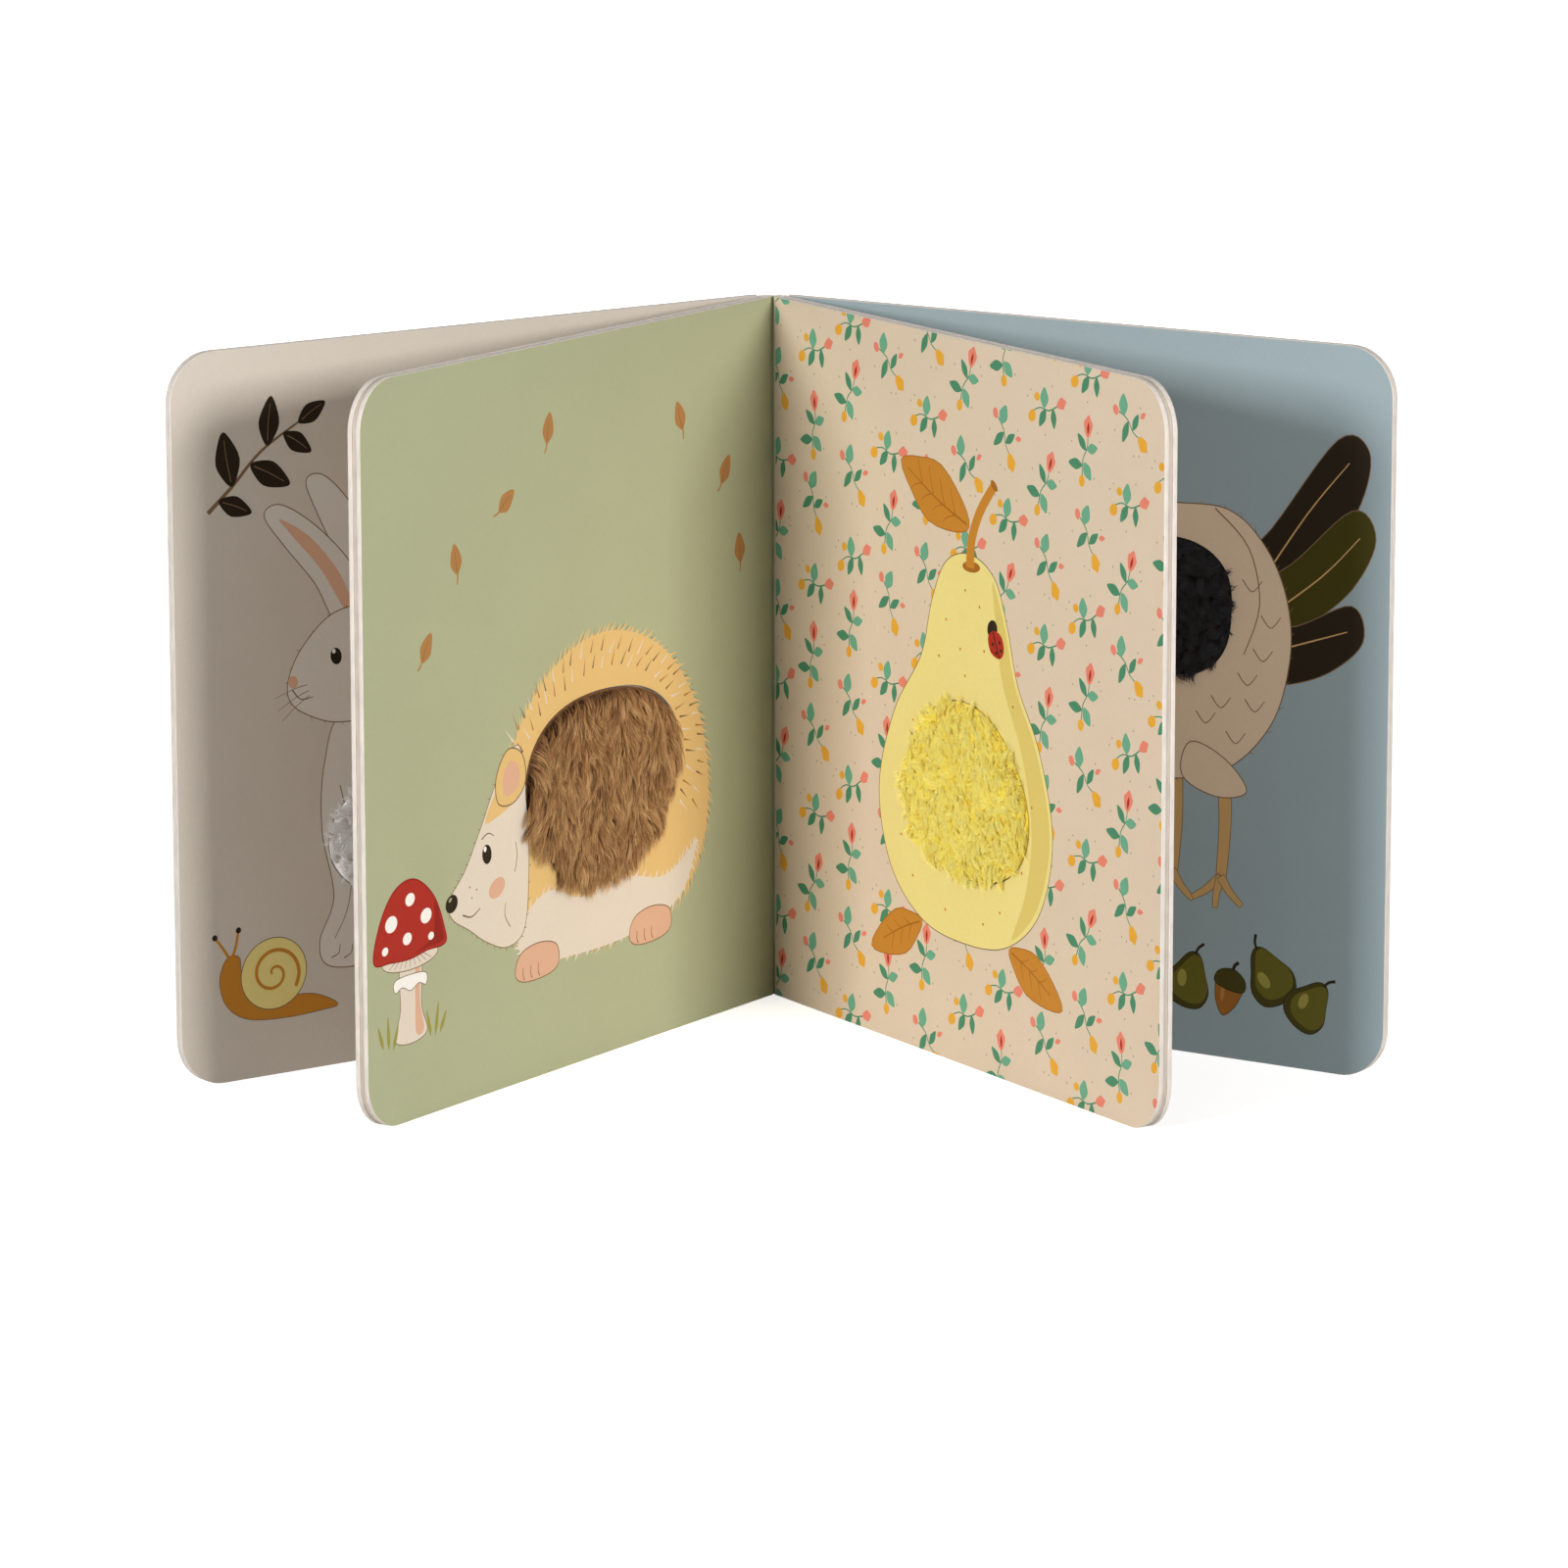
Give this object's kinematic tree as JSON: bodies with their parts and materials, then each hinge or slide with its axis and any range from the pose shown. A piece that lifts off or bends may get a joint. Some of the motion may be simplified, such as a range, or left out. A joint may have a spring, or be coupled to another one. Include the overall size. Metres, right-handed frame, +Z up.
{
  "type": "board book",
  "caption": "Square touch-and-feel board book standing open as a fan, with thick leaves and windows of soft pile fabric; both covers turn on their creases.",
  "frame": {"origin": "foot of the centre fold between the two leaves, at mid thickness of the fold", "axes": "+Z up along the fold, -Y towards the reader, +X to the reader's right"},
  "size_m": [0.2781, 0.1425, 0.17],
  "materials": {
    "pages": "matte printed board",
    "covers": "matte printed board",
    "spine": "matte printed board",
    "brown_fur": "long pile",
    "yellow_fur": "curly pile",
    "white_fur": "long pile",
    "black_fur": "curly pile"
  },
  "bodies": {
    "leaves": {"pages": "pages", "spine": "spine", "brown_fur": "brown_fur", "yellow_fur": "yellow_fur"},
    "front_cover": {"front_cover": "covers", "white_fur": "white_fur"},
    "back_cover": {"back_cover": "covers", "black_fur": "black_fur"}
  },
  "joints": [
    {"name": "front_cover_crease", "type": "hinge", "parent": "leaves", "child": "front_cover", "pos_m": [-0.00284, 0.00098, 0.085], "axis": [0, 0, -1], "range_deg": [-17.4, 126.1]},
    {"name": "back_cover_crease", "type": "hinge", "parent": "leaves", "child": "back_cover", "pos_m": [0.00289, 0.00089, 0.085], "axis": [0, 0, 1], "range_deg": [-22.1, 123.2]}
  ]
}
